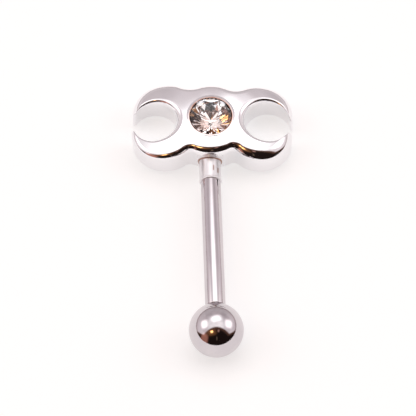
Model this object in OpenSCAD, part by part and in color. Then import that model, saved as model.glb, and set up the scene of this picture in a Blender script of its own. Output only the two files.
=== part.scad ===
// Eyebrow barbell, lying on a flat surface with its stone facing up. Millimetres, +Z up.
// A steel post carries a screw-on ball at its near end (-Y). Its far end (+Y) sits in the sleeve
// of a cast double-crescent head with one round cut crystal.
// The origin is on the surface, below the middle of the whole piece.

/* [Post] */
// Diameter of the steel post, 16 gauge
post_d = 1.2; // [1:0.1:1.4]
// Wearing length, from the ball's face to the near wall of the head
wear_length = 9.6; // [8:0.1:13]
// Core diameter of the threaded stub that the ball screws onto
stub_d = 1.04; // [0.9:0.02:1.1]
// Length of the threaded stub
stub_length = 1.9; // [1.4:0.1:2]
// Diameter of the turned-down tang at the post's upper end, inside the sleeve
tang_d = 0.9; // [0.8:0.02:0.96]
// Length of the tang
tang_length = 1.8; // [1.5:0.1:1.9]

/* [Ball] */
// Diameter of the screw-on ball
ball_d = 3.2; // [3:0.1:4]
// Radial clearance of the ball's blind hole round the stub
thread_gap = 0.05; // [0.03:0.01:0.06]

/* [Sleeve] */
// Outer diameter of the sleeve that holds the post
sleeve_d = 1.32; // [1.3:0.01:1.4]
// Length of the sleeve in front of the head's wall
sleeve_length = 1.3; // [0.8:0.1:2]
// Width of the lip at the sleeve's mouth
lip_length = 0.12; // [0.08:0.01:0.2]
// How far the lip stands out from the sleeve
lip_rise = 0.03; // [0.02:0.01:0.05]
// Gap between the post and the sleeve, round the tang and at the sleeve's mouth
seat_gap = 0.02; // [0.01:0.01:0.04]

/* [Head outline] */
// Radius of the middle lobe, round the stone
middle_r = 2.37; // [2.2:0.01:2.5]
// Distance of the left side lobe's centre from the stone's centre, across the post
lobe_x = 2.7; // [2.6:0.05:2.7]
// How much further out the right side lobe is, in the casting
lobe_excess = 0.17; // [0:0.01:0.2]
// Distance of a side lobe's far circle from the stone's centre, along the post
lobe_y = 0.5; // [0.4:0.02:0.54]
// Radius of the side lobes' circles
lobe_r = 1.98; // [1.94:0.01:2]
// Distance of the left side lobe's near circle from the stone's centre, along the post
left_foot_y = 0.68; // [0.5:0.02:0.7]
// Distance of the right side lobe's near circle from the stone's centre, along the post
right_foot_y = 0.65; // [0.6:0.01:0.68]
// Radius of the right side lobe's near circle
right_foot_r = 1.92; // [1.9:0.01:1.98]
// Power that squares the side lobes' far corners, 1 leaves them round
corner_power = 0.86; // [0.8:0.02:1]
// Radius of the two far hollows between the middle lobe and the side lobes
dip_r = 0.5; // [0.3:0.05:0.6]
// Radius of the two near hollows
foot_dip_r = 0.4; // [0.35:0.05:0.5]
// Radius of the round opening in the left side lobe, which leaves a crescent
left_opening_r = 1.31; // [1.29:0.01:1.33]
// Radius of the opening in the right side lobe
right_opening_r = 1.36; // [1.34:0.01:1.38]
// Distance of the left opening's centre from the stone's centre
opening_x = 3.32; // [3.3:0.01:3.36]
// How much further from the stone the right opening is
opening_excess = 0.03; // [0:0.01:0.06]
// How much nearer to the ball the left opening is
opening_drop = 0.17; // [0:0.01:0.2]
// Width of the gap between the left crescent's tips
left_mouth = 1.1; // [1:0.05:1.3]
// Width of the gap between the right crescent's tips
right_mouth = 0.7; // [0.6:0.05:0.9]
// How much nearer to the ball than the stone's centre both gaps are
mouth_drop = 0.12; // [0:0.02:0.2]
// Turn of the head in its own plane, clockwise seen from above
head_turn = 3.5; // [0:0.5:5]

/* [Head thickness] */
// Radius of the gently domed front
dome_r = 16; // [12:1:30]
// Height of the front's crown above the stone's girdle
crown_rise = 0.07; // [0.06:0.01:0.12]
// Radius of the rounded shoulder along the outline
shoulder_r = 0.5; // [0.4:0.05:0.6]
// Depth of the flat back below the stone's girdle
back_depth = 2.13; // [2.08:0.01:2.28]
// Depth of the post's axis below the stone's girdle
axis_depth = 1.46; // [1.43:0.01:1.48]

/* [Crystal] */
// Diameter of the round crystal
stone_d = 2.45; // [2.4:0.05:2.6]
// Table diameter, corner to corner
table_d = 1.4; // [1.3:0.02:1.5]
// Height of the table above the girdle's middle
table_height = 0.4; // [0.3:0.01:0.45]
// Depth of the point below the girdle's middle
point_depth = 1.06; // [1:0.01:1.12]
// Thickness of the girdle
girdle_t = 0.06; // [0.04:0.01:0.1]
// Gap between the crystal and its seat
stone_gap = 0.02; // [0.01:0.01:0.03]

/* [Hidden] */
$fn = 96;

post_r = post_d / 2;
ball_r = ball_d / 2;
stub_r = stub_d / 2;
sleeve_r = sleeve_d / 2;
stone_r = stone_d / 2;
tang_r = tang_d / 2;
bore_r = tang_r + seat_gap;

// Along the post, from the ball's centre towards the head
end_gap = 0.03;
ball_face = sqrt(ball_r * ball_r - post_r * post_r);
shaft_start = ball_face + end_gap;
wall_y = ball_face + wear_length;
sleeve_y = wall_y - sleeve_length;
shaft_end = sleeve_y - seat_gap;
tang_end = shaft_end + tang_length;
bore_end_gap = 0.1;

// Change of radius along the sleeve, its lip, the tang and the threaded stub
taper = 0.02;

// How far a cut runs out past the surface that it opens
cut_past = 1;

// Rest: the ball and the far edges of both side lobes touch the surface, so the post slopes
// down towards the head. rest_tilt is that slope, measured in the plane square to the head.
far_edge = wall_y * cos(head_turn) + middle_r + lobe_y + lobe_r;
back_drop = back_depth - axis_depth;
rest_tilt = asin(ball_r / norm([far_edge, back_drop])) - atan2(back_drop, far_edge);

// Middle of the box round the whole piece, seen from above
stone_y = wall_y + middle_r * cos(head_turn);
side_reach = lobe_x * sin(head_turn) + lobe_y * cos(head_turn) + lobe_r;
side_excess = lobe_excess * cos(head_turn) + (lobe_y - left_foot_y) * sin(head_turn);
centre_x = middle_r * sin(head_turn) + side_excess / 2;
centre_y = (stone_y * cos(rest_tilt) + side_reach - ball_r) / 2;

// Steps along one quarter of the outline, up the shoulder and in to the crown
lobe_steps = 16;
dip_steps = 6;
middle_steps = 6;
shoulder_steps = 6;
opening_steps = 60;
crown_scales = [0.8, 0.6, 0.4, 0.2];

// Direction at an angle, its first quarter turn squared by a power
function squared(angle, power) =
    angle < 90 ? [cos(angle) ^ power, sin(angle) ^ power] : [cos(angle), sin(angle)];

function arc_points(centre, r, from, to, steps) =
    [for (i = [0:steps])
        let (angle = from + (to - from) * i / steps)
        centre + r * [cos(angle), sin(angle)]];

function lobe_points(centre, r, to, power) =
    [for (i = [0:lobe_steps]) centre + r * squared(to * i / lobe_steps, power)];

function after_first(points) = [for (i = [1:len(points) - 1]) points[i]];

function before_last(points) = [for (i = [0:len(points) - 2]) points[i]];

function backwards(points) = [for (i = [len(points) - 1:-1:0]) points[i]];

function flipped(points, sx, sy) = [for (p = points) [sx * p.x, sy * p.y]];

// One quarter of the head's outline, moved in by an inset: side lobe, hollow, middle lobe.
// The lobe's circle has its centre at x and y from the stone's and the radius r. The hollow is a
// circle of radius dip that touches the two lobes from outside.
function quarter(inset, x, y, r, dip, power) =
    let (
        away = norm([x, y]),
        dip_away = middle_r + dip,
        turn = atan2(y, x) + acos((away ^ 2 + dip_away ^ 2 - (r + dip) ^ 2) / (2 * away * dip_away)),
        hollow = dip_away * [cos(turn), sin(turn)],
        lobe_end = atan2(hollow.y - y, hollow.x - x))
    concat(
        lobe_points([x, y], r - inset, lobe_end, power),
        after_first(arc_points(hollow, dip + inset, lobe_end + 180, turn + 180, dip_steps)),
        after_first(arc_points([0, 0], middle_r - inset, turn, 90, middle_steps)));

function outline(inset) =
    let (
        right_x = lobe_x + lobe_excess,
        right_foot_x = right_x + lobe_r - right_foot_r,
        right_top = quarter(inset, right_x, lobe_y, lobe_r, dip_r, corner_power),
        left_top = quarter(inset, lobe_x, lobe_y, lobe_r, dip_r, corner_power),
        left_foot = quarter(inset, lobe_x, left_foot_y, lobe_r, foot_dip_r, 1),
        right_foot = quarter(inset, right_foot_x, right_foot_y, right_foot_r, foot_dip_r, 1))
    concat(
        right_top,
        backwards(before_last(flipped(left_top, -1, 1))),
        flipped(left_foot, -1, -1),
        backwards(before_last(flipped(right_foot, 1, -1))));

// Height of the domed front over the stone's girdle
function front_height(p) = crown_rise - dome_r + sqrt(dome_r ^ 2 - p.x ^ 2 - p.y ^ 2);

// One ring of the shoulder: angle 0 is the top of the straight wall, 90 is the front's edge
function shoulder_ring(angle) =
    let (ring = outline(shoulder_r * (1 - cos(angle))))
    [for (p = ring) [p.x, p.y, front_height(p) - shoulder_r * (1 - sin(angle))]];

function crown_ring(scale) = [for (p = outline(shoulder_r) * scale) [p.x, p.y, front_height(p)]];

// Domed front, rounded shoulder and straight wall, the wall running down past the back
module domed_block() {
    rings = concat(
        [[for (p = outline(0)) [p.x, p.y, -back_depth - cut_past]]],
        [for (k = [0:shoulder_steps]) shoulder_ring(90 * k / shoulder_steps)],
        [for (scale = crown_scales) crown_ring(scale)]);
    count = len(rings[0]);
    last = len(rings) - 1;
    walls = [for (k = [0:last - 1], i = [0:count - 1])
        let (j = (i + 1) % count, a = k * count, b = a + count)
        each [[a + i, b + i, b + j], [a + i, b + j, a + j]]];
    apex = len(rings) * count;
    crown = [for (i = [0:count - 1]) [last * count + i, apex, last * count + (i + 1) % count]];
    back = [[for (i = [0:count - 1]) i]];
    polyhedron(
        points = [for (ring = rings) each ring, [0, 0, crown_rise]],
        faces = concat(walls, crown, back));
}

// Head without its openings, cut off flat at the back
module head_blank() {
    half = lobe_x + lobe_excess + lobe_r + cut_past;
    difference() {
        domed_block();
        translate([-half, -half, -back_depth - 2 * cut_past])
            cube([2 * half, 2 * half, 2 * cut_past]);
    }
}

// Round opening with a straight mouth on its outer side, between two heights over its centre
function opening_outline(r, low, high) = concat(
    [[lobe_r + cut_past, low], [lobe_r + cut_past, high]],
    arc_points([0, 0], r, asin(high / r), 360 + asin(low / r), opening_steps));

// Opening of a side lobe with its centre at x and y from the stone's, its front rim eased square
// to the dome, and the mouth between the crescent's tips
module lobe_opening(x, y, r, mouth) {
    rim_depth = 0.28;
    rim_over = 0.2;
    rim_overlap = 0.02;
    rim_r = r - rim_overlap;
    rim_height = rim_depth + rim_over;
    mouth_y = -mouth_drop - y;
    translate([x, y, -back_depth - cut_past])
        linear_extrude(height = back_depth + 2 * cut_past)
            polygon(opening_outline(r, mouth_y - mouth / 2, mouth_y + mouth / 2));
    translate([x, y, front_height([x, y])])
        rotate([0, asin(x / dome_r), 0])
            translate([0, 0, -rim_depth])
                linear_extrude(height = rim_height, scale = 1 + rim_height / rim_r)
                    polygon(before_last(arc_points([0, 0], rim_r, 0, 360, opening_steps)));
}

// Conical seat for the crystal, with a short bright-cut bevel at its mouth
module stone_seat() {
    seat_r = stone_r + stone_gap;
    seat_tip_r = 0.02;
    ledge = 0.1;
    point_gap = 0.06;
    bevel_height = 0.15;
    bevel_width = 0.1;
    translate([0, 0, -ledge])
        cylinder(r = seat_r, h = ledge + crown_rise + cut_past);
    translate([0, 0, -point_depth - point_gap])
        cylinder(r1 = seat_tip_r, r2 = seat_r, h = point_depth + point_gap - ledge);
    translate([0, 0, crown_rise - bevel_height])
        cylinder(r1 = seat_r, r2 = seat_r + bevel_width, h = bevel_height);
}

// Straight cylinder along the post's axis between two distances from the ball's centre
module along_post(from, to, r) {
    translate([0, from, 0])
        rotate([-90, 0, 0])
            cylinder(r = r, h = to - from);
}

// The same between two radii, for everything that narrows a little along the post
module tapered_along_post(from, to, from_r, to_r) {
    translate([0, from, 0])
        rotate([-90, 0, 0])
            cylinder(r1 = from_r, r2 = to_r, h = to - from);
}

// Moves a shape from the head's own frame, with the stone's centre at the origin, onto the post
module on_post() {
    translate([0, wall_y, 0])
        rotate([0, 0, -head_turn])
            translate([0, middle_r, axis_depth])
                children();
}

// Moves the barbell from the post's frame, with the ball at the origin, to where it lies at rest
module at_rest() {
    translate([-centre_x, -centre_y, ball_r])
        rotate([0, 0, -head_turn])
            rotate([-rest_tilt, 0, 0])
                rotate([0, 0, head_turn])
                    children();
}

// Cast head: two crescents back to back, seat for the crystal and sleeve for the post in one piece
module crescent_head() {
    sleeve_root = 0.6;
    lip_r = sleeve_r + lip_rise;
    color("silver")
        at_rest()
            difference() {
                union() {
                    on_post()
                        head_blank();
                    tapered_along_post(sleeve_y, wall_y + sleeve_root, sleeve_r, sleeve_r + taper);
                    tapered_along_post(sleeve_y, sleeve_y + lip_length, lip_r, lip_r - taper);
                }
                on_post() {
                    lobe_opening(opening_x + opening_excess, 0, right_opening_r, right_mouth);
                    mirror([1, 0, 0])
                        lobe_opening(opening_x, -opening_drop, left_opening_r, left_mouth);
                    stone_seat();
                }
                along_post(sleeve_y - cut_past, tang_end + bore_end_gap, bore_r);
            }
}

// Round brilliant: table, star, kite and girdle facets above, main and lower facets down to a point
module brilliant() {
    table_r = table_d / 2;
    half_girdle = girdle_t / 2;
    kite_slope = (table_height - half_girdle) / (stone_r - table_r);
    star_r = (table_r * cos(22.5) + stone_r) / 2;
    star_height = table_height - kite_slope * (star_r * cos(22.5) - table_r);
    main_slope = (point_depth - half_girdle) / stone_r;
    lower_share = 0.24;
    lower_r = lower_share * stone_r;
    lower_height = main_slope * lower_r * cos(22.5) - point_depth;
    table = [for (i = [0:7]) [table_r * cos(45 * i), table_r * sin(45 * i), table_height]];
    star = [for (i = [0:7]) [star_r * cos(45 * i + 22.5), star_r * sin(45 * i + 22.5), star_height]];
    girdle = [for (z = [half_girdle, -half_girdle], i = [0:15])
        [stone_r * cos(22.5 * i), stone_r * sin(22.5 * i), z]];
    lower = [for (i = [0:7]) [lower_r * cos(45 * i + 22.5), lower_r * sin(45 * i + 22.5), lower_height]];
    corners = concat(table, star, girdle, lower, [[0, 0, -point_depth]]);
    hull()
        polyhedron(points = corners, faces = [for (i = [1:len(corners) - 2]) [0, i, i + 1]]);
}

module crystal() {
    color("white")
        at_rest()
            on_post()
                brilliant();
}

// Steel post: bare shaft from the ball to the sleeve, a threaded stub in one and a tang in the other
module post() {
    chamfer = 0.04;
    stub_end = shaft_start - stub_length;
    profile = [
        [0, stub_end],
        [stub_r - taper - chamfer, stub_end],
        [stub_r - taper, stub_end + chamfer],
        [stub_r, shaft_start],
        [post_r - chamfer, shaft_start],
        [post_r, shaft_start + chamfer],
        [post_r, shaft_end - chamfer],
        [post_r - chamfer, shaft_end],
        [tang_r, shaft_end],
        [tang_r - taper, tang_end],
        [0, tang_end]];
    color("lightslategray")
        at_rest()
            rotate([-90, 0, 0])
                rotate_extrude()
                    polygon(profile);
}

// Ball with a blind hole that screws onto the stub
module end_ball() {
    hole_end_gap = 0.12;
    color("gray")
        at_rest()
            difference() {
                sphere(r = ball_r);
                along_post(
                    shaft_start - stub_length - hole_end_gap,
                    ball_r + cut_past,
                    stub_r + thread_gap);
            }
}

crescent_head();
crystal();
post();
end_ball();
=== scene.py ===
"""Looks of the eyebrow barbell: cast silver double-crescent head, foiled crystal, steel post and ball.

Sizes are in millimetres in each piece's own frame. Every mesh is then placed in the shared frame, in metres.
"""
import math
from functools import reduce

import bpy
import bmesh
import numpy as np
from mathutils import Matrix, Vector


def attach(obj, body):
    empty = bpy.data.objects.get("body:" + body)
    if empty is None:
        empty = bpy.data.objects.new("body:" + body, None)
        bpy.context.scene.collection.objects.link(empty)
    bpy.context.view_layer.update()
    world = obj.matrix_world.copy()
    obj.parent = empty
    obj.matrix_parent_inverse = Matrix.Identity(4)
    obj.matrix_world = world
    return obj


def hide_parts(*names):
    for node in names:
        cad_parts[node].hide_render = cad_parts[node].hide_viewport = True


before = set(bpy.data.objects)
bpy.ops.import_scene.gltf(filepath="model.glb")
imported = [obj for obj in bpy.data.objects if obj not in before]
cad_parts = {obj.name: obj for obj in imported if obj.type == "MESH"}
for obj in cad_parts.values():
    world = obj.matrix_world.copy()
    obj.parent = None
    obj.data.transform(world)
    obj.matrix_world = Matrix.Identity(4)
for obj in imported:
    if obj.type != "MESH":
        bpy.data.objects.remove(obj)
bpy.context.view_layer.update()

MM = 0.001

# Sizes shared with the part's source
POST_R = 0.6
BALL_R = 1.6
STUB_R = 0.52
STUB_LENGTH = 1.9
TANG_R = 0.45
TANG_LENGTH = 1.8
WEAR_LENGTH = 9.6
END_GAP = 0.03
THREAD_GAP = 0.05
SLEEVE_LENGTH = 1.3
LIP_LENGTH = 0.12
SEAT_GAP = 0.02
BORE_END_GAP = 0.1
HOLE_END_GAP = 0.12
TAPER = 0.02
MIDDLE_R = 2.37
LOBE_X = 2.7
LOBE_EXCESS = 0.17
LOBE_Y = 0.5
LOBE_R = 1.98
LEFT_FOOT_Y = 0.68
RIGHT_FOOT_Y = 0.65
RIGHT_FOOT_R = 1.92
CORNER_POWER = 0.86
DIP_R = 0.5
LEFT_OPENING_R = 1.31
RIGHT_OPENING_R = 1.36
OPENING_X = 3.32
OPENING_EXCESS = 0.03
OPENING_DROP = 0.17
LEFT_MOUTH = 1.1
RIGHT_MOUTH = 0.7
MOUTH_DROP = 0.12
HEAD_TURN = math.radians(3.5)
DOME_R = 16.0
CROWN_RISE = 0.07
SHOULDER_R = 0.5
BACK_DEPTH = 2.13
AXIS_DEPTH = 1.46
STONE_R = 1.225
TABLE_HEIGHT = 0.4
HALF_GIRDLE = 0.03
STONE_GAP = 0.02

# Sizes that differ from the source's by up to 0.1 mm, for the look
SLEEVE_R = 0.645
SLEEVE_GAP = 0.005
LIP_RISE = 0.025
FOOT_DIP_R = 0.3
TABLE_R = 0.71
POINT_DEPTH = 1.13

# Radius of the head's near shoulder at places from the left lobe to the right one. Over the blend's
# distance to both sides of the head's middle it passes into the far shoulder's radius
NEAR_SHOULDER = ((-3, 0.3), (0, 0.42), (1.5, 0.46), (3, 0.7))
SHOULDER_BLEND = 0.4

# Small edges and hollows of the casting, and its seat for the stone
MOUTH_CORNER_R = 0.12
TIP_R = 0.08
RIM_R = 0.2
INNER_RIM_EXCESS = 0.2
OUTER_RIM_LOSS = 0.1
BEZEL_R = 1.38
BEZEL_RISE = 0.02
BEZEL_EDGE_R = 0.06
SLEEVE_EDGE_R = 0.04
SLEEVE_ROOT = 0.6
SLEEVE_FILLET_R = 0.05
LIP_EDGE_R = 0.03
LIP_FILLET_R = 0.02
BACK_EDGE_R = 0.08
HOLE_EDGE_R = 0.03
SEAT_LEDGE_DEPTH = 0.1
SEAT_POINT_R = 0.02
SEAT_POINT_GAP = 0.06

# Height of the break in the crystal's lower facets, as a share of its radius
PAVILION_BREAK = 0.24

# Thread on the stub and in the ball
THREAD_PITCH = 0.24
THREAD_STEPS = 48
THREAD_DEPTH = 0.06
STUB_RIDGE = 0.13
TAP_DEPTH = 0.03
TAP_RIDGE = 0.07

# Along the post, from the ball's centre towards the head
BALL_FACE = math.sqrt(BALL_R**2 - POST_R**2)
SHAFT_START = BALL_FACE + END_GAP
STUB_END = SHAFT_START - STUB_LENGTH
WALL_Y = BALL_FACE + WEAR_LENGTH
SLEEVE_Y = WALL_Y - SLEEVE_LENGTH
SHAFT_END = SLEEVE_Y - SLEEVE_GAP
TANG_END = SHAFT_END + TANG_LENGTH
BORE_END = TANG_END + BORE_END_GAP
HOLE_END = STUB_END - HOLE_END_GAP
HOLE_R = STUB_R + THREAD_GAP + TAP_DEPTH


def rest_matrices():
    """Places of the post and of the head at rest, as the part's source works them out, in millimetres."""
    far_edge = WALL_Y * math.cos(HEAD_TURN) + MIDDLE_R + LOBE_Y + LOBE_R
    back_drop = BACK_DEPTH - AXIS_DEPTH
    tilt = math.asin(BALL_R / math.hypot(far_edge, back_drop)) - math.atan2(back_drop, far_edge)
    stone_y = WALL_Y + MIDDLE_R * math.cos(HEAD_TURN)
    reach = LOBE_X * math.sin(HEAD_TURN) + LOBE_Y * math.cos(HEAD_TURN) + LOBE_R
    excess = LOBE_EXCESS * math.cos(HEAD_TURN) + (LOBE_Y - LEFT_FOOT_Y) * math.sin(HEAD_TURN)
    centre_x = MIDDLE_R * math.sin(HEAD_TURN) + excess / 2
    centre_y = (stone_y * math.cos(tilt) + reach - BALL_R) / 2
    turn = Matrix.Rotation(HEAD_TURN, 4, "Z")
    lean = Matrix.Rotation(-tilt, 4, "X")
    place = Matrix.Translation((-centre_x, -centre_y, BALL_R))
    post = place @ turn.inverted() @ lean @ turn
    to_wall = Matrix.Translation((0, WALL_Y, 0))
    to_stone = Matrix.Translation((0, MIDDLE_R, AXIS_DEPTH))
    return post, post @ to_wall @ turn.inverted() @ to_stone


POST_PLACE, HEAD_PLACE = rest_matrices()
ALONG_POST = POST_PLACE @ Matrix.Rotation(-math.pi / 2, 4, "X")


def placed(points, place):
    """Points in millimetres in a piece's own frame, moved to the shared frame in metres."""
    m = np.array(place)
    return (np.asarray(points, float) @ m[:3, :3].T + m[:3, 3]) * MM


def new_piece(name, verts, faces, finish, body, replaces=()):
    """Makes a piece from points in metres and hangs it on its body."""
    mesh = bpy.data.meshes.new(name)
    mesh.from_pydata([tuple(v) for v in verts], [], [tuple(f) for f in faces])
    mesh.validate()
    return dressed(name, mesh, [finish], body, replaces)


def dressed(name, mesh, finishes, body, replaces=()):
    """Gives a mesh its finishes and body, and hides the parts of model.glb that it replaces."""
    for finish in finishes:
        if finish.name not in [m.name for m in mesh.materials if m]:
            mesh.materials.append(finish)
    piece = bpy.data.objects.new(name, mesh)
    bpy.context.scene.collection.objects.link(piece)
    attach(piece, body)
    for node in replaces:
        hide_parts(node)
    return piece


def smooth(mesh, sharp_angle=30.0):
    """Smooth shading with sharp edges where the surface turns by more than an angle in degrees."""
    mesh.shade_smooth()
    mesh.set_sharp_from_angle(angle=math.radians(sharp_angle))


# Wiring of nodes


class Wiring:
    """Adds nodes to one tree. What goes into a node is a value or another node's socket."""

    def __init__(self, tree):
        self.tree = tree

    def feed(self, socket, value):
        """Links a socket to the value where that is a socket too, or else sets it."""
        if isinstance(value, bpy.types.NodeSocket):
            self.tree.links.new(value, socket)
        else:
            socket.default_value = value

    def add(self, kind, inputs=None, **settings):
        """A node with its settings, which come first because some of them change its sockets."""
        node = self.tree.nodes.new(kind)
        for name, setting in settings.items():
            setattr(node, name, setting)
        for name, value in (inputs or {}).items():
            self.feed(node.inputs[name], value)
        return node

    def calculated(self, operation, *values):
        """Result of one step of arithmetic."""
        return self.add("ShaderNodeMath", dict(enumerate(values)), operation=operation).outputs["Value"]

    def product(self, *values):
        return reduce(lambda a, b: self.calculated("MULTIPLY", a, b), values)

    def total(self, *values):
        return reduce(lambda a, b: self.calculated("ADD", a, b), values)

    def largest(self, *values):
        return reduce(lambda a, b: self.calculated("MAXIMUM", a, b), values)

    def away(self, value, middle=0.0):
        """How far a value lies from a middle, on either side."""
        return self.calculated("ABSOLUTE", self.calculated("SUBTRACT", value, middle))

    def from_axis(self, first, second):
        """Distance from an axis, from two coordinates that are square to it."""
        return self.calculated("SQRT", self.total(self.product(first, first), self.product(second, second)))

    def mapped(self, value, low, high, to_low, to_high):
        """A value carried from one range to another and kept inside it."""
        ends = {"From Min": low, "From Max": high, "To Min": to_low, "To Max": to_high}
        return self.add("ShaderNodeMapRange", {"Value": value, **ends}).outputs["Result"]

    def rising(self, value, none, full):
        """0 up to one value, 1 past another."""
        return self.mapped(value, none, full, 0.0, 1.0)

    def fading(self, value, full, none, strength=1.0):
        """Full strength up to one value, 0 past another."""
        return self.mapped(value, full, none, strength, 0.0)

    def blended(self, share, first, second):
        """A colour between two others."""
        ends = {name: (*colour, 1) if isinstance(colour, tuple) else colour
                for name, colour in (("A", first), ("B", second))}
        return self.add("ShaderNodeMix", {"Factor": share, **ends}, data_type="RGBA").outputs["Result"]

    def parted(self, vector):
        """The three coordinates of a vector."""
        return self.add("ShaderNodeSeparateXYZ", {"Vector": vector}).outputs

    def vector(self, operation, inputs, result="Vector"):
        """Result of one step of arithmetic on vectors or colours."""
        return self.add("ShaderNodeVectorMath", inputs, operation=operation).outputs[result]

    def noise(self, vector, scale, detail=3.0, roughness=0.55):
        """Cloudy value round 0.5."""
        inputs = {"Vector": vector, "Scale": scale, "Detail": detail, "Roughness": roughness}
        return self.add("ShaderNodeTexNoise", inputs).outputs["Fac"]

    def stretched(self, vector, scale, turn=(0, 0, 0)):
        """Coordinates that draw a pattern out along the axes with the smaller scales."""
        inputs = {"Vector": vector, "Scale": scale, "Rotation": turn}
        return self.add("ShaderNodeMapping", inputs).outputs["Vector"]

    def own_coordinates(self, place):
        """Object coordinates turned back to a piece's own frame, in millimetres."""
        location, rotation, _ = place.decompose()
        inputs = {"Vector": self.add("ShaderNodeTexCoord").outputs["Object"], "Location": location * MM,
                  "Rotation": rotation.to_euler(), "Scale": (MM, MM, MM)}
        return self.add("ShaderNodeMapping", inputs, vector_type="TEXTURE").outputs["Vector"]

    def bump(self, shader, height, depth):
        """A fine relief, its depth in millimetres."""
        relief = self.add("ShaderNodeBump", {"Height": height, "Distance": depth * MM, "Strength": 1.0})
        self.feed(shader.inputs["Normal"], relief.outputs["Normal"])


def named_sockets(tree, inputs, output_name, output_kind):
    """Gives a node group its named inputs and its output, and returns its wiring and the inputs' sockets."""
    for name, kind in inputs.items():
        tree.interface.new_socket(name, in_out="INPUT", socket_type=kind)
    tree.interface.new_socket(output_name, in_out="OUTPUT", socket_type=output_kind)
    wiring = Wiring(tree)
    return wiring, wiring.add("NodeGroupInput").outputs


# Finishes


SILVER_FACE = (0.945, 0.925, 0.935)
SILVER_PATCH = (0.925, 0.91, 0.93)
# Darker silver, painted on the casting's lower walls as shade
SILVER_WALL_SHADE = (0.865, 0.85, 0.865)
# Brown of the solder line and the sleeve's streaks, also painted in the stone's seat as shade in its crevice
BROWN_MARK_AND_SHADE = (0.42, 0.24, 0.19)
SHAFT_SHADES = ((0.66, 0.615, 0.63), (0.62, 0.575, 0.60))
BALL_SHADES = ((0.66, 0.62, 0.635), (0.61, 0.57, 0.595))
CLEAR = (0.99, 0.985, 0.985)
# Tints painted on the foil in patches, standing in for the crystal's coloured flashes of dispersed light
WARM_FLASH_TINT = (0.96, 0.85, 0.81)
COOL_FLASH_TINT = (0.92, 0.95, 1.0)
PAPER = (0.6, 0.59, 0.587)
PAPER_LIGHT = (1.0, 0.997, 0.994)
PAPER_GLOW = 0.54

# Edges of the silver's finishes and of its painted shade in the head's frame: full up to the first value,
# gone at the second
WALL_SHADE_HEIGHT = (-0.75, -0.5)
FROST_HEIGHT = (-0.75, -0.6)
SLEEVE_SIDE = (0.7, 0.85)
SLEEVE_ALONG = (-MIDDLE_R + 0.1, -MIDDLE_R + 0.2)
SEAT_FROM_STONE = (STONE_R + 0.07, STONE_R + 0.11)
SOLDER_FROM_STONE = (MIDDLE_R + 0.03, MIDDLE_R + 0.05)
SOLDER_FROM_POST = (SLEEVE_R + 0.06, SLEEVE_R + 0.09)
STREAK_BESIDE = (0.02, 0.06)
MATT_BACK_HEIGHT = (-BACK_DEPTH + 0.03, -BACK_DEPTH + 0.12)

# Brown streaks on the sleeve: place to the right of the middle, start and end along the sleeve.
# Their ends fade over the edge's length
SLEEVE_STREAKS = ((0.24, 0.4, 0.85), (0.5, 0.52, 0.95))
STREAK_END_EDGE = 0.1
STREAK_STRENGTH = 0.8

# What frost does to the silver, and how rough the matt back is
FROST_ROUGHNESS = 0.32
FROST_METALLIC = 0.7
MATT_BACK_ROUGHNESS = 0.22


def new_finish(name):
    """A material with one shader, and its wiring."""
    finish = bpy.data.materials.new(name)
    finish.use_nodes = True
    finish.node_tree.nodes.clear()
    wiring = Wiring(finish.node_tree)
    shader = wiring.add("ShaderNodeBsdfPrincipled")
    wiring.add("ShaderNodeOutputMaterial", {"Surface": shader.outputs["BSDF"]})
    return finish, wiring, shader


def seat_painted_shade(wiring, from_stone, height, wear):
    """Share of brown painted shade in the crevice of the stone's seat, thinner in patches and low down."""
    low_down = wiring.mapped(height, -0.3, 0.0, 0.6, 1.0)
    patches = wiring.mapped(wear, 0.3, 0.6, 0.55, 1.0)
    return wiring.product(wiring.fading(from_stone, *SEAT_FROM_STONE), low_down, patches)


def solder_line(wiring, from_stone, across, height, near_sleeve):
    """Share of the thin brown line where the sleeve is soldered to the near wall."""
    from_post = wiring.from_axis(across, wiring.total(height, AXIS_DEPTH))
    on_wall = wiring.fading(from_stone, *SOLDER_FROM_STONE)
    at_root = wiring.fading(from_post, *SOLDER_FROM_POST)
    return wiring.product(on_wall, at_root, near_sleeve)


def sleeve_streak(wiring, across, along, aside, start, end):
    """Share of one brown streak that runs along the sleeve."""
    beside = wiring.away(across, aside)
    beyond = wiring.away(along, -MIDDLE_R - (start + end) / 2)
    half_length = (end - start) / 2
    return wiring.product(
        wiring.fading(beside, *STREAK_BESIDE, STREAK_STRENGTH),
        wiring.fading(beyond, half_length - STREAK_END_EDGE, half_length))


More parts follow.
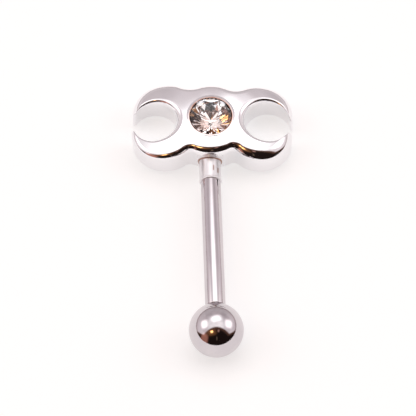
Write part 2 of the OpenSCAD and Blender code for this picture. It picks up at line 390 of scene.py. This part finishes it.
def cast_silver():
    """Hand-polished silver: crossing scratches, lower walls painted darker as shade, matt back, frosted
    sleeve, brown solder line and streaks, and brown painted shade in the stone's seat.
    """
    finish, wiring, shader = new_finish("polished cast silver")
    own = wiring.own_coordinates(HEAD_PLACE)
    across, along, height = wiring.parted(own)
    from_stone = wiring.from_axis(across, along)
    near_sleeve = wiring.product(
        wiring.fading(along, *SLEEVE_ALONG), wiring.fading(wiring.away(across), *SLEEVE_SIDE))
    frost = wiring.product(near_sleeve, wiring.fading(height, *FROST_HEIGHT))
    # Painted shade: the lower walls get the darker silver, except where the sleeve is frosted
    painted_wall_shade = wiring.product(wiring.fading(height, *WALL_SHADE_HEIGHT), wiring.fading(frost, 0.0, 1.0))
    wear = wiring.noise(own, 1.1, 4.0)
    scratches = wiring.noise(wiring.stretched(own, (2.0, 26.0, 26.0), (0, 0, 0.5)), 1.6, 5.0, 0.7)
    crossing = wiring.noise(wiring.stretched(own, (24.0, 2.2, 24.0), (0, 0, 0.35)), 1.5, 5.0, 0.7)
    marks = wiring.product(scratches, crossing)

    # Brown: painted shade in the crevice of the stone's seat, plus the solder line and the sleeve's streaks
    brown_marks_and_shade = wiring.largest(
        seat_painted_shade(wiring, from_stone, height, wear),
        solder_line(wiring, from_stone, across, height, near_sleeve),
        *(sleeve_streak(wiring, across, along, *streak) for streak in SLEEVE_STREAKS))
    colour = wiring.blended(wiring.rising(wear, 0.35, 0.7), SILVER_FACE, SILVER_PATCH)
    colour = wiring.blended(painted_wall_shade, colour, SILVER_WALL_SHADE)
    wiring.feed(shader.inputs["Base Color"], wiring.blended(brown_marks_and_shade, colour, BROWN_MARK_AND_SHADE))

    scratched = wiring.mapped(marks, 0.15, 0.4, 0.045, 0.11)
    frosted = wiring.product(frost, FROST_ROUGHNESS)
    matt_back = wiring.fading(height, *MATT_BACK_HEIGHT, MATT_BACK_ROUGHNESS)
    wiring.feed(shader.inputs["Roughness"], wiring.total(scratched, frosted, matt_back))
    wiring.feed(shader.inputs["Metallic"], wiring.mapped(frost, 0.0, 1.0, 1.0, FROST_METALLIC))
    wiring.bump(shader, marks, 0.0012)
    return finish


def steel(name, place, line_scale, colour, tint):
    """Mirror-polished steel with hair-fine polishing lines."""
    finish, wiring, shader = new_finish(name)
    own = wiring.own_coordinates(place)
    lines = wiring.noise(wiring.stretched(own, line_scale), 2.0, 5.0, 0.65)
    patches = wiring.rising(wiring.noise(own, 0.8), 0.35, 0.65)
    wiring.feed(shader.inputs["Base Color"], wiring.blended(patches, colour, tint))
    wiring.feed(shader.inputs["Roughness"], wiring.mapped(lines, 0.35, 0.7, 0.035, 0.09))
    shader.inputs["Metallic"].default_value = 1.0
    wiring.bump(shader, lines, 0.0009)
    return finish


def crystal_glass():
    """Clear cut glass."""
    finish, _, shader = new_finish("clear cut glass")
    shader.inputs["Roughness"].default_value = 0.0
    shader.inputs["Base Color"].default_value = (*CLEAR, 1)
    shader.inputs["Transmission Weight"].default_value = 1.0
    shader.inputs["IOR"].default_value = 1.56
    return finish


def foil_back():
    """Silver foil on the crystal's back, with warm and cool patches of tint painted on to stand in for the
    crystal's coloured flashes of dispersed light.
    """
    finish, wiring, shader = new_finish("silver foil")
    patches = wiring.noise(wiring.own_coordinates(HEAD_PLACE), 1.7, 2.0)
    # Painted flashes: warm and cool patches of tint on the foil
    shade = wiring.blended(wiring.rising(patches, 0.5, 0.6), CLEAR, WARM_FLASH_TINT)
    shade = wiring.blended(wiring.fading(patches, 0.38, 0.44), shade, COOL_FLASH_TINT)
    wiring.feed(shader.inputs["Base Color"], shade)
    shader.inputs["Metallic"].default_value = 1.0
    shader.inputs["Roughness"].default_value = 0.0
    return finish


def white_paper():
    """Paper that glows a little, as it does when a photograph is exposed for silver."""
    finish, _, shader = new_finish("white paper")
    shader.inputs["Base Color"].default_value = (*PAPER, 1)
    shader.inputs["Roughness"].default_value = 0.9
    shader.inputs["Specular IOR Level"].default_value = 0.0
    shader.inputs["Emission Color"].default_value = (*PAPER_LIGHT, 1)
    shader.inputs["Emission Strength"].default_value = PAPER_GLOW
    return finish


SILVER = cast_silver()
SHAFT_STEEL = steel("drawn surgical steel", ALONG_POST, (30.0, 30.0, 0.5), *SHAFT_SHADES)
BALL_STEEL = steel("turned surgical steel", POST_PLACE, (9.0, 9.0, 9.0), *BALL_SHADES)
GLASS = crystal_glass()
FOIL = foil_back()


# Cast head: the zero surface of a distance that is worked out from its named sizes


def joined(a, b, r):
    """Union of two shapes with a hollow of radius r where they meet."""
    return np.maximum(r, np.minimum(a, b)) - np.hypot(np.maximum(r - a, 0), np.maximum(r - b, 0))


def eased(a, b, r):
    """Common part of two shapes with its edge rounded to radius r."""
    return np.minimum(-r, np.maximum(a, b)) + np.hypot(np.maximum(r + a, 0), np.maximum(r + b, 0))


def hand_waves(x, y, z):
    """Shallow waves that hand polishing leaves in a cast face."""
    total = np.zeros_like(x)
    for depth, kx, ky, kz, start in (
        (0.0030, 2.1, 1.3, 0.8, 0.4),
        (0.0024, -1.4, 2.6, 1.1, 2.1),
        (0.0016, 3.7, -1.9, 2.3, 4.0),
        (0.0010, 4.9, 4.1, -2.9, 5.2),
    ):
        total = total + depth * np.sin(kx * x + ky * y + kz * z + start)
    return total


def head_plan(x, y):
    """Distance to the head's outline: a round middle lobe between two longer side lobes."""
    right = x > 0
    out = np.abs(x) - LOBE_X - np.where(right, LOBE_EXCESS, 0)
    beyond = np.maximum(y - LOBE_Y, 0)
    power = np.where(out > 0, 2 / CORNER_POWER, 2)
    top = (np.abs(out) ** power + beyond**power) ** (1 / power) - LOBE_R
    foot_r = np.where(right, RIGHT_FOOT_R, LOBE_R)
    foot_y = np.where(right, RIGHT_FOOT_Y, LEFT_FOOT_Y)
    foot = np.hypot(out - LOBE_R + foot_r, np.maximum(-y - foot_y, 0)) - foot_r
    return joined(np.hypot(x, y) - MIDDLE_R, np.where(y > 0, top, foot), np.where(y > 0, DIP_R, FOOT_DIP_R))


def crescent_openings(x, y):
    """Depth inside the side lobes' openings and mouths, and the radius that eases their front rim."""
    right = x > 0
    out = np.abs(x) - OPENING_X - np.where(right, OPENING_EXCESS, 0)
    away = np.hypot(out, y + np.where(right, 0, OPENING_DROP))
    hole = np.where(right, RIGHT_OPENING_R, LEFT_OPENING_R) - away
    mouth = np.minimum(out, np.where(right, RIGHT_MOUTH, LEFT_MOUTH) / 2 - np.abs(y + MOUTH_DROP))
    outward = out / np.maximum(away, 0.1)
    rim = RIM_R + INNER_RIM_EXCESS * np.clip(-outward, 0, 1) ** 2 - OUTER_RIM_LOSS * np.clip(outward, 0, 1)
    return eased(hole, mouth, MOUTH_CORNER_R), rim


def stone_seat(rho, z):
    """Depth inside the crystal's seat: a straight wall over a ledge, and a cone below."""
    seat_r = STONE_R + STONE_GAP
    point = POINT_DEPTH + SEAT_POINT_GAP
    cone_r = SEAT_POINT_R + (z + point) * (seat_r - SEAT_POINT_R) / (point - SEAT_LEDGE_DEPTH)
    return np.minimum(seat_r - rho, np.maximum(z + SEAT_LEDGE_DEPTH, cone_r - rho))


def sleeve_and_bore(x, y, z):
    """Distances to the sleeve and to its lip, and the depth inside the bore for the post's tang."""
    turn_cos, turn_sin = math.cos(HEAD_TURN), math.sin(HEAD_TURN)
    post_x = turn_cos * x + turn_sin * (y + MIDDLE_R)
    post_y = turn_cos * (y + MIDDLE_R) - turn_sin * x
    radial = np.hypot(post_x, z + AXIS_DEPTH)
    tube = eased(radial - SLEEVE_R, -SLEEVE_LENGTH - post_y, SLEEVE_EDGE_R)
    tube = eased(tube, post_y - SLEEVE_ROOT, SLEEVE_EDGE_R)
    lip_middle = -SLEEVE_LENGTH + LIP_LENGTH / 2
    lip = eased(radial - SLEEVE_R - LIP_RISE, np.abs(post_y - lip_middle) - LIP_LENGTH / 2, LIP_EDGE_R)
    bore = np.minimum(TANG_R + SEAT_GAP - radial, BORE_END - WALL_Y - post_y)
    return tube, lip, bore


def head_field(x, y, z):
    """Signed distance to the cast head's surface, in its own frame, negative inside."""
    rho = np.hypot(x, y)
    front = np.sqrt(rho**2 + (z - CROWN_RISE + DOME_R) ** 2) - DOME_R
    plan = head_plan(x, y)
    opening, rim = crescent_openings(x, y)
    near_shoulder = np.interp(x, *zip(*NEAR_SHOULDER))
    nearness = np.clip(0.5 - y / (2 * SHOULDER_BLEND), 0, 1)
    shoulder = SHOULDER_R + (near_shoulder - SHOULDER_R) * nearness
    body = np.maximum(eased(plan, front, shoulder), eased(front, opening, rim))
    body = np.maximum(body, eased(plan, opening, TIP_R))
    bezel = eased(rho - BEZEL_R, front - BEZEL_RISE, BEZEL_EDGE_R)
    body = joined(body, bezel, BEZEL_EDGE_R)
    tube, lip, bore = sleeve_and_bore(x, y, z)
    body = joined(body, tube, SLEEVE_FILLET_R)
    body = joined(body, lip, LIP_FILLET_R)
    body = eased(body, -BACK_DEPTH - z, BACK_EDGE_R)
    body = eased(body, stone_seat(rho, z), HOLE_EDGE_R)
    body = eased(body, bore, HOLE_EDGE_R)
    return body + hand_waves(x, y, z)


def gradient(field, points, step=0.004):
    """Slope of a field at each point."""
    slopes = []
    for axis in range(3):
        shift = np.zeros(3)
        shift[axis] = step
        ahead = field(*(points + shift).T)
        behind = field(*(points - shift).T)
        slopes.append((ahead - behind) / (2 * step))
    return np.stack(slopes, -1)


def surface_net(field, low, high, step):
    """Mesh of a field's zero surface: one point in each cell that the surface crosses, joined by quads."""
    passes = 5
    furthest = 0.4 * step
    least_slope = 0.05
    axes = [np.arange(a, b, step) for a, b in zip(low, high)]
    grid = np.meshgrid(*axes, indexing="ij")
    value = field(*grid)
    inside = value < 0
    shape = np.array(value.shape)
    total = np.zeros((*(shape - 1), 3))
    count = np.zeros(shape - 1)
    for axis in range(3):
        u, v = (axis + 1) % 3, (axis + 2) % 3
        for du in (0, 1):
            for dv in (0, 1):
                first = [slice(None)] * 3
                first[axis] = slice(0, shape[axis] - 1)
                first[u] = slice(du, shape[u] - 1 + du)
                first[v] = slice(dv, shape[v] - 1 + dv)
                second = list(first)
                second[axis] = slice(1, shape[axis])
                a, b = value[tuple(first)], value[tuple(second)]
                crossed = (a < 0) != (b < 0)
                share = np.where(crossed, a / np.where(crossed, a - b, 1), 0)
                offset = np.zeros((*a.shape, 3))
                offset[..., axis] = share
                offset[..., u] = du
                offset[..., v] = dv
                total += offset * crossed[..., None]
                count += crossed
    used = count > 0
    number = np.full(used.shape, -1)
    number[used] = np.arange(used.sum())
    cells = np.argwhere(used)
    points = np.array(low) + step * (cells + total[used] / count[used][:, None])
    quads = []
    for axis in range(3):
        u, v = (axis + 1) % 3, (axis + 2) % 3
        lower = np.take(inside, range(0, shape[axis] - 1), axis)
        upper = np.take(inside, range(1, shape[axis]), axis)
        at = np.argwhere(lower != upper)
        keep = (at[:, u] > 0) & (at[:, v] > 0) & (at[:, u] < shape[u] - 1) & (at[:, v] < shape[v] - 1)
        at = at[keep]
        step_u, step_v = np.eye(3, dtype=int)[u], np.eye(3, dtype=int)[v]
        ring = [number[tuple((at - back).T)] for back in (step_u + step_v, step_v, 0 * step_u, step_u)]
        quad = np.stack(ring, -1)
        outward = lower[tuple(at.T)]
        quad[~outward] = quad[~outward][:, ::-1]
        quads.append(quad)
    for _ in range(passes):
        slope = gradient(field, points)
        steepness = np.maximum((slope**2).sum(-1), least_slope)
        move = slope * (field(*points.T) / steepness)[:, None]
        points -= np.clip(move, -furthest, furthest)
    return points, np.vstack(quads)


def cast_head():
    """The casting, meshed in a box that is a little larger, and shaded by the slope of its own surface."""
    cell = 0.045
    box_low = (-4.85, -4.0, -2.3)
    box_high = (5.05, 2.65, 0.3)
    points, quads = surface_net(head_field, box_low, box_high, cell)
    normals = gradient(head_field, points)
    normals /= np.linalg.norm(normals, axis=1)[:, None]
    piece = new_piece("crescent_casting", placed(points, HEAD_PLACE), quads, SILVER, "barbell",
                      ["crescent_head"])
    piece.data.shade_smooth()
    turned = normals @ np.array(HEAD_PLACE)[:3, :3].T
    piece.data.normals_split_custom_set_from_vertices([tuple(n) for n in turned])
    return piece


# Crystal


def brilliant_corners():
    """Corners of the round brilliant: table, star, girdle and lower facets, and the point."""
    def ring(radius, height, count, start=0.0):
        return [(radius * math.cos(start + 2 * math.pi * i / count),
                 radius * math.sin(start + 2 * math.pi * i / count), height) for i in range(count)]

    eighth = math.pi / 8
    kite_slope = (TABLE_HEIGHT - HALF_GIRDLE) / (STONE_R - TABLE_R)
    star_r = (TABLE_R * math.cos(eighth) + STONE_R) / 2
    star_height = TABLE_HEIGHT - kite_slope * (star_r * math.cos(eighth) - TABLE_R)
    main_slope = (POINT_DEPTH - HALF_GIRDLE) / STONE_R
    lower_r = PAVILION_BREAK * STONE_R
    lower_height = main_slope * lower_r * math.cos(eighth) - POINT_DEPTH
    return (ring(TABLE_R, TABLE_HEIGHT, 8) + ring(star_r, star_height, 8, eighth)
            + ring(STONE_R, HALF_GIRDLE, 16) + ring(STONE_R, -HALF_GIRDLE, 16)
            + ring(lower_r, lower_height, 8, eighth) + [(0, 0, -POINT_DEPTH)])


def cut_crystal():
    """Faceted stone; its lower facets carry the foil."""
    shape = bmesh.new()
    for corner in brilliant_corners():
        shape.verts.new(corner)
    bmesh.ops.convex_hull(shape, input=shape.verts[:])
    bmesh.ops.dissolve_limit(shape, angle_limit=math.radians(0.6), verts=shape.verts[:], edges=shape.edges[:])
    bmesh.ops.recalc_face_normals(shape, faces=shape.faces[:])
    foil_start = -0.9 * HALF_GIRDLE
    for face in shape.faces:
        face.material_index = 1 if face.calc_center_median().z < foil_start else 0
        face.smooth = False
    mesh = bpy.data.meshes.new("faceted_crystal")
    shape.to_mesh(mesh)
    shape.free()
    mesh.transform(Matrix.Scale(MM, 4) @ HEAD_PLACE)
    return dressed("faceted_crystal", mesh, [GLASS, FOIL], "barbell", ["crystal"])


# Turned pieces and their threads


def spun(profile, sides):
    """Closed solid of revolution about Z from (radius, height) pairs whose first and last radius is zero."""
    rings = profile[1:-1]
    angles = np.linspace(0, 2 * math.pi, sides, endpoint=False)
    verts = [(0, 0, profile[0][1])]
    for radius, height in rings:
        verts += [(radius * math.cos(a), radius * math.sin(a), height) for a in angles]
    verts.append((0, 0, profile[-1][1]))
    last = len(verts) - 1
    faces = []
    for i in range(sides):
        j = (i + 1) % sides
        faces.append((0, 1 + j, 1 + i))
        for k in range(len(rings) - 1):
            a, b = 1 + k * sides, 1 + (k + 1) * sides
            faces.append((a + i, a + j, b + j, b + i))
        top = 1 + (len(rings) - 1) * sides
        faces.append((top + i, top + j, last))
    return verts, faces


def rounded(corner_list, radius, steps=3, most=0.45):
    """Profile with its corners rounded by a radius, but by no more than a share of each side."""
    out = [corner_list[0]]
    for before, corner, after in zip(corner_list, corner_list[1:], corner_list[2:]):
        corner_v = Vector(corner)
        to_before = Vector(before) - corner_v
        to_after = Vector(after) - corner_v
        reach = min(radius, to_before.length * most, to_after.length * most)
        start = corner_v + to_before.normalized() * reach
        end = corner_v + to_after.normalized() * reach
        for i in range(steps + 1):
            t = i / steps
            p = start * (1 - t) ** 2 + corner_v * 2 * t * (1 - t) + end * t**2
            out.append((p.x, p.y))
    out.append(corner_list[-1])
    return out


def thread_tree():
    """Geometry nodes: a ridge of diamond section along a spiral, fading out at both ends."""
    full_part = 0.38
    end_size = 0.02
    wiring, given = named_sockets(
        bpy.data.node_groups.new("thread_ridge", "GeometryNodeTree"),
        {"Turns": "NodeSocketFloat", "Radius": "NodeSocketFloat", "Length": "NodeSocketFloat",
         "Ridge": "NodeSocketFloat", "Steps Per Turn": "NodeSocketInt", "Finish": "NodeSocketMaterial"},
        "Geometry", "NodeSocketGeometry")
    spiral = wiring.add("GeometryNodeCurveSpiral", {
        "Resolution": given["Steps Per Turn"], "Rotations": given["Turns"], "Start Radius": given["Radius"],
        "End Radius": given["Radius"], "Height": given["Length"]})
    upright = wiring.add("GeometryNodeSetCurveNormal", {"Curve": spiral.outputs["Curve"]}, mode="Z_UP")
    along = wiring.add("GeometryNodeSplineParameter").outputs["Factor"]
    fade = wiring.mapped(wiring.away(along, 0.5), full_part, 0.5, 1.0, end_size)
    thickness = wiring.add("GeometryNodeSetCurveRadius", {"Curve": upright.outputs["Curve"], "Radius": fade})
    half_ridge = wiring.product(given["Ridge"], 0.5)
    section = wiring.add("GeometryNodeCurvePrimitiveQuadrilateral", {
        "Width": given["Ridge"], "Bottom Height": half_ridge, "Top Height": half_ridge}, mode="KITE")
    sweep = wiring.add("GeometryNodeCurveToMesh", {
        "Curve": thickness.outputs["Curve"], "Profile Curve": section.outputs["Curve"], "Fill Caps": True})
    if "Scale" in sweep.inputs:
        wiring.feed(sweep.inputs["Scale"], fade)
    real = wiring.add("GeometryNodeRealizeInstances", {"Geometry": sweep.outputs["Mesh"]})
    finished = wiring.add("GeometryNodeSetMaterial", {
        "Geometry": real.outputs["Geometry"], "Material": given["Finish"]})
    wiring.add("NodeGroupOutput", {"Geometry": finished.outputs["Geometry"]})
    return wiring.tree


THREAD_TREE = thread_tree()


def thread(name, start, end, radius, ridge, finish, body):
    """One thread as a piece: its spiral runs along the post from start to end."""
    carrier = bpy.data.objects.new(name + "_carrier", bpy.data.meshes.new(name + "_carrier"))
    bpy.context.scene.collection.objects.link(carrier)
    modifier = carrier.modifiers.new("thread", "NODES")
    modifier.node_group = THREAD_TREE
    values = {"Turns": (end - start) / THREAD_PITCH, "Radius": radius, "Length": end - start, "Ridge": ridge,
              "Steps Per Turn": THREAD_STEPS, "Finish": finish}
    for item in THREAD_TREE.interface.items_tree:
        if item.item_type == "SOCKET" and item.in_out == "INPUT":
            modifier[item.identifier] = values[item.name]
    depsgraph = bpy.context.evaluated_depsgraph_get()
    mesh = bpy.data.meshes.new_from_object(carrier.evaluated_get(depsgraph))
    mesh.name = name
    bpy.data.objects.remove(carrier)
    mesh.transform(Matrix.Scale(MM, 4) @ ALONG_POST @ Matrix.Translation((0, 0, start)))
    smooth(mesh, sharp_angle=25)
    return dressed(name, mesh, [finish], body)


def stub_thread():
    """Thread on the stub, clear of its chamfered end and of the neck."""
    start = STUB_END + 0.08
    end = SHAFT_START - 0.16
    return thread("stub_thread", start, end, STUB_R - THREAD_DEPTH, STUB_RIDGE, SHAFT_STEEL, "barbell")


def ball_thread():
    """Thread in the ball's hole, clear of its drilled end and of its mouth."""
    start = HOLE_END + 0.1
    end = BALL_FACE - 0.06
    return thread("ball_thread", start, end, HOLE_R, TAP_RIDGE, BALL_STEEL, "ball")


def steel_post():
    """Bare shaft with a turned-down tang at the head's end and a threaded stub at the ball's."""
    core_r = STUB_R - THREAD_DEPTH
    neck_r = core_r - 0.03
    neck_start = SHAFT_START - 0.08
    stub_chamfer = 0.07
    chamfer = 0.04
    sleeve_chamfer = 0.01
    corners = [
        (0, STUB_END),
        (core_r - stub_chamfer, STUB_END),
        (core_r, STUB_END + stub_chamfer),
        (core_r, neck_start - chamfer),
        (neck_r, neck_start),
        (neck_r, SHAFT_START),
        (POST_R - chamfer, SHAFT_START),
        (POST_R, SHAFT_START + chamfer),
        (POST_R, SHAFT_END - sleeve_chamfer),
        (POST_R - sleeve_chamfer, SHAFT_END),
        (TANG_R, SHAFT_END),
        (TANG_R - TAPER, TANG_END),
        (0, TANG_END),
    ]
    verts, faces = spun(rounded(corners, radius=0.015), sides=128)
    piece = new_piece("steel_shaft", placed(verts, ALONG_POST), faces, SHAFT_STEEL, "barbell",
                      ["post"])
    smooth(piece.data)
    return piece


def steel_ball():
    """Turned ball whose hole has a chamfered mouth and a drilled end."""
    mouth_excess = 0.035
    mouth_r = HOLE_R + mouth_excess
    mouth_angle = math.asin(mouth_r / BALL_R)
    rim = BALL_R * math.cos(mouth_angle)
    steps = 96
    profile = [(0, -BALL_R)]
    for i in range(1, steps + 1):
        angle = math.pi - (math.pi - mouth_angle) * i / steps
        profile.append((BALL_R * math.sin(angle), BALL_R * math.cos(angle)))
    chamfer = 0.012
    mouth_depth = 0.05
    drill_corner = 0.02
    drill_point = 0.12
    profile += [
        (HOLE_R + chamfer, rim - chamfer),
        (HOLE_R, rim - mouth_depth),
        (HOLE_R, HOLE_END + drill_corner),
        (HOLE_R - drill_corner, HOLE_END),
        (0, HOLE_END - drill_point),
    ]
    verts, faces = spun(profile, sides=160)
    piece = new_piece("steel_ball", placed(verts, ALONG_POST), faces, BALL_STEEL, "ball",
                      ["end_ball"])
    smooth(piece.data, sharp_angle=24)
    return piece


# Floor, studio and camera


def sheet_of_paper():
    """Plain white paper that the barbell lies on."""
    reach = 0.9
    mesh = bpy.data.meshes.new("floor")
    mesh.from_pydata([(-reach, -reach, 0), (reach, -reach, 0), (reach, reach, 0), (-reach, reach, 0)], [],
                     [(0, 1, 2, 3)])
    mesh.materials.append(white_paper())
    floor = bpy.data.objects.new("floor", mesh)
    bpy.context.scene.collection.objects.link(floor)
    return floor


# Light of the tent's cloth by height, from the horizon at 0 to straight overhead at 1
TENT_LIGHT = (
    (0.0, (0.29, 0.225, 0.22)),
    (0.03, (0.33, 0.265, 0.26)),
    (0.11, (0.56, 0.50, 0.51)),
    (0.35, (0.66, 0.605, 0.62)),
    (0.55, (0.60, 0.535, 0.55)),
    (0.68, (0.70, 0.63, 0.65)),
    (0.78, (0.88, 0.82, 0.84)),
    (0.86, (1.18, 1.14, 1.15)),
    (1.0, (1.30, 1.25, 1.25)),
)

# The tent has a gap on the camera's side, where one of two measures of a direction falls below 0:
# the first gives the gap's curved upper edge, the second the horns into which it widens low down
GAP_START = 0.17
GAP_CURVE = 0.42
GAP_LEAN = 1.15
GAP_SOFTNESS = 0.05
ROOM_DEPTH = 0.25
ROOM_EDGE = (0.16, 0.078, 0.055)
ROOM_DEEP = (0.014, 0.008, 0.007)

# Soft windows in the tent, and the few lighter things in the dark room behind the camera:
# direction, width and height in degrees, turn in degrees, softness, colour times brightness
WINDOWS = {
    "main_softbox": ((0.02, 0.455, 0.89), 36, 27, 15, 0.5, (0.85, 0.85, 0.85)),
    "left_softbox": ((-0.74, 0.155, 0.64), 23, 26, 0, 0.75, (1.7, 1.67, 1.64)),
    "right_softbox": ((0.779, 0.128, 0.611), 25, 26, 0, 0.75, (1.7, 1.67, 1.64)),
    "warm_lamp": ((-0.331, -0.468, 0.819), 9, 8, 0, 0.8, (4.0, 2.2, 0.8)),
    "lamp_glow": ((-0.331, -0.52, 0.79), 30, 20, 0, 0.9, (0.24, 0.10, 0.04)),
    "warm_wood": ((-0.76, -0.62, 0.2), 42, 28, 20, 0.4, (0.40, 0.17, 0.125)),
    "pale_cup": ((0.155, -0.45, 0.88), 7, 11, 0, 0.4, (0.34, 0.18, 0.15)),
    "far_lamp": ((0.01, -0.85, 0.52), 4, 16, 0, 0.5, (0.12, 0.085, 0.06)),
}


def window_tree():
    """Node group: 1 inside a soft-edged window seen in a given direction, 0 outside it."""
    wiring, given = named_sockets(
        bpy.data.node_groups.new("soft_window", "ShaderNodeTree"),
        {"Direction": "NodeSocketVector", "Facing": "NodeSocketVector", "Across": "NodeSocketVector",
         "Up": "NodeSocketVector", "Half Width": "NodeSocketFloat", "Half Height": "NodeSocketFloat",
         "Softness": "NodeSocketFloat"},
        "Share", "NodeSocketFloat")
    least = 0.001
    corner_power = 3.0

    def along(axis):
        return wiring.vector("DOT_PRODUCT", {0: given["Direction"], 1: given[axis]}, "Value")

    def off_middle(axis, half):
        ratio = wiring.calculated("DIVIDE", along(axis), wiring.calculated("MAXIMUM", facing, least))
        share = wiring.calculated("DIVIDE", wiring.away(ratio), given[half])
        return wiring.calculated("POWER", share, corner_power)

    facing = along("Facing")
    off = wiring.total(off_middle("Across", "Half Width"), off_middle("Up", "Half Height"))
    edge = wiring.add("ShaderNodeMapRange", {
        "Value": wiring.calculated("POWER", off, 1 / corner_power),
        "From Min": wiring.total(1.0, given["Softness"]),
        "From Max": wiring.calculated("SUBTRACT", 1.0, given["Softness"])}, interpolation_type="SMOOTHSTEP")
    ahead = wiring.calculated("GREATER_THAN", facing, least)
    wiring.add("NodeGroupOutput", {"Share": wiring.product(edge.outputs["Result"], ahead)})
    return wiring.tree


def tent_cloth(wiring, direction, across, height):
    """Light of the tent: by height, with folds in the cloth, and brighter low down at the two sides."""
    ramp = wiring.add("ShaderNodeValToRGB", {"Fac": height})
    while len(ramp.color_ramp.elements) < len(TENT_LIGHT):
        ramp.color_ramp.elements.new(0.5)
    for element, (place, colour) in zip(ramp.color_ramp.elements, TENT_LIGHT):
        element.position = place
        element.color = (*colour, 1)
    folds = wiring.mapped(wiring.noise(direction, 2.6), 0.3, 0.7, 0.84, 1.1)
    sides = wiring.mapped(wiring.away(across), 0.42, 0.85, -0.02, 0.4)
    low_down = wiring.fading(height, 0.62, 0.8)
    brightness = wiring.total(folds, wiring.product(sides, low_down))
    return wiring.vector("SCALE", {0: ramp.outputs["Color"], "Scale": brightness})


def window_light(wiring, direction, window, name, facing, wide, high, turn, softness, colour):
    """Light that one window adds to a direction."""
    facing = Vector(facing).normalized()
    aside = facing.cross(Vector((0, 1, 0))).normalized()
    up = aside.cross(facing)
    turned = Matrix.Rotation(math.radians(turn), 3, facing)
    group = wiring.add("ShaderNodeGroup", name=name, node_tree=window)
    for socket, value in (
        ("Direction", direction),
        ("Facing", facing),
        ("Across", turned @ aside),
        ("Up", turned @ up),
        ("Half Width", math.tan(math.radians(wide / 2))),
        ("Half Height", math.tan(math.radians(high / 2))),
        ("Softness", softness),
    ):
        wiring.feed(group.inputs[socket], value)
    return wiring.vector("SCALE", {0: colour, "Scale": group.outputs["Share"]})


def studio():
    """A white light tent: bright overhead, duller low down, open on the camera's side to a dark warm room."""
    world = bpy.data.worlds.new("studio")
    bpy.context.scene.world = world
    world.use_nodes = True
    world.node_tree.nodes.clear()
    wiring = Wiring(world.node_tree)
    direction = wiring.add("ShaderNodeTexCoord").outputs["Generated"]
    across, along, height = wiring.parted(direction)
    upper_edge = wiring.total(wiring.product(across, across, GAP_CURVE), GAP_START, along)
    horns = wiring.total(wiring.product(height, GAP_LEAN), along)
    from_gap = wiring.calculated("MINIMUM", upper_edge, horns)
    in_room = wiring.fading(from_gap, -GAP_SOFTNESS, GAP_SOFTNESS)
    room = wiring.blended(wiring.fading(from_gap, -ROOM_DEPTH, 0.0), ROOM_EDGE, ROOM_DEEP)
    light = wiring.blended(in_room, tent_cloth(wiring, direction, across, height), room)
    window = window_tree()
    for name, values in WINDOWS.items():
        light = wiring.vector("ADD", {0: light, 1: window_light(wiring, direction, window, name, *values)})
    background = wiring.add("ShaderNodeBackground", {"Color": light, "Strength": 1.0})
    wiring.add("ShaderNodeOutputWorld", {"Surface": background.outputs["Background"]})


def photo_camera():
    """Camera at the photograph's place: 64 degrees above the floor, 22 cm away, rolled by 2 degrees."""
    elevation = math.radians(64.39)
    roll = math.radians(2.175)
    distance = 0.22
    focal_pixels = 3750.1
    picture_width = 416
    target = Vector((-0.439, 0.734, 1.3)) * MM
    back = Vector((0, -math.cos(elevation), math.sin(elevation)))
    right = Vector((1, 0, 0))
    up = back.cross(right)
    right_rolled = right * math.cos(roll) - up * math.sin(roll)
    up_rolled = right * math.sin(roll) + up * math.cos(roll)
    data = bpy.data.cameras.new("camera")
    data.sensor_width = 36.0
    data.lens = focal_pixels * data.sensor_width / picture_width
    data.clip_start = 0.001
    data.clip_end = 10.0
    camera = bpy.data.objects.new("camera", data)
    turned = Matrix((right_rolled, up_rolled, back)).transposed()
    camera.matrix_world = Matrix.Translation(target + back * distance) @ turned.to_4x4()
    bpy.context.scene.collection.objects.link(camera)
    bpy.context.scene.camera = camera
    return camera


photo_camera()
cast_head()
cut_crystal()
steel_post()
steel_ball()
stub_thread()
ball_thread()
sheet_of_paper()
studio()
bpy.context.scene.view_settings.view_transform = "Standard"
